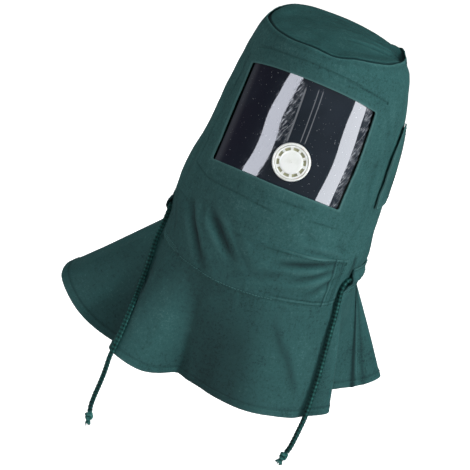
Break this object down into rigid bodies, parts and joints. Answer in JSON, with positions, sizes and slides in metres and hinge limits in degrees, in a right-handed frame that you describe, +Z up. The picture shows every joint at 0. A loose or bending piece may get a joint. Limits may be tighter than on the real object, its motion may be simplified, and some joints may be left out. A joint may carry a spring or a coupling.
{
  "type": "sandblasting hood",
  "caption": "Canvas blasting hood with a curved clear window, a round valve in it, a drawcord at the neck and a flared shoulder cape.",
  "frame": {"origin": "where the crown panel's inner face rests on the top of a head, on the head's upright axis", "axes": "+Z up out of the head, -Y out of the face through the window, +X towards the side with the lens slot and its flap"},
  "size_m": [0.3841, 0.3167, 0.4982],
  "materials": {
    "canvas": "matte woven cotton canvas, dark green",
    "cord": "matte braided cord, dark green",
    "lens": "clear glossy sheet, dark against the hood's inside",
    "vent": "satin white plastic"
  },
  "bodies": {
    "root": {"hood_body": "canvas", "crown_panel": "canvas", "lens_pocket": "canvas", "slot_flap": "canvas", "lens": "lens", "vent_body": "vent", "vent_cap": "vent", "vent_ring": "vent", "neck_band": "canvas", "cord_casing": "canvas", "cape": "canvas", "drawcord_hidden": "cord", "drawcord_right": "cord", "drawcord_left": "cord", "knot_right": "cord", "knot_left": "cord"}
  },
  "joints": []
}
